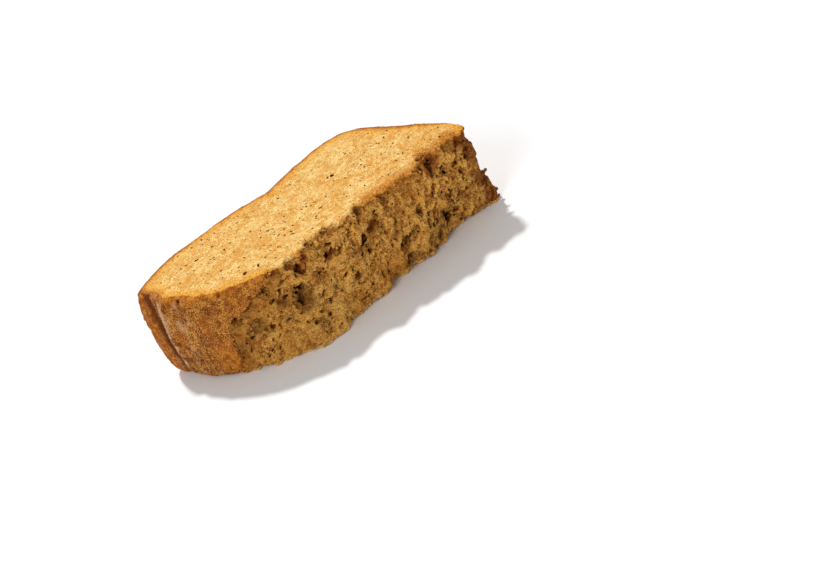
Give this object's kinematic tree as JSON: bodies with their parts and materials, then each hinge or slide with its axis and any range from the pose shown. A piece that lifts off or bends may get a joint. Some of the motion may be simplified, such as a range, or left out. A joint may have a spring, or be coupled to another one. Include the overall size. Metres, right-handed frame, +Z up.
{
  "type": "banana bread half slice",
  "caption": "Thick slice of banana bread torn in half lengthwise, with cut faces, browned crust and a ragged torn side, lying flat.",
  "frame": {"origin": "under the middle of the piece's box, on the plane of the lower cut face", "axes": "+X along the half from the loaf's bottom crust to its domed top, +Y to the loaf's side crust, away from the torn side, +Z up through the slice's thickness"},
  "size_m": [0.098, 0.0479, 0.0269],
  "materials": {
    "crumb": "matte baked crumb, golden cut faces, tan torn side with dark pits, orange-brown crust"
  },
  "bodies": {
    "root": {"banana_bread_half": "crumb"}
  },
  "joints": []
}
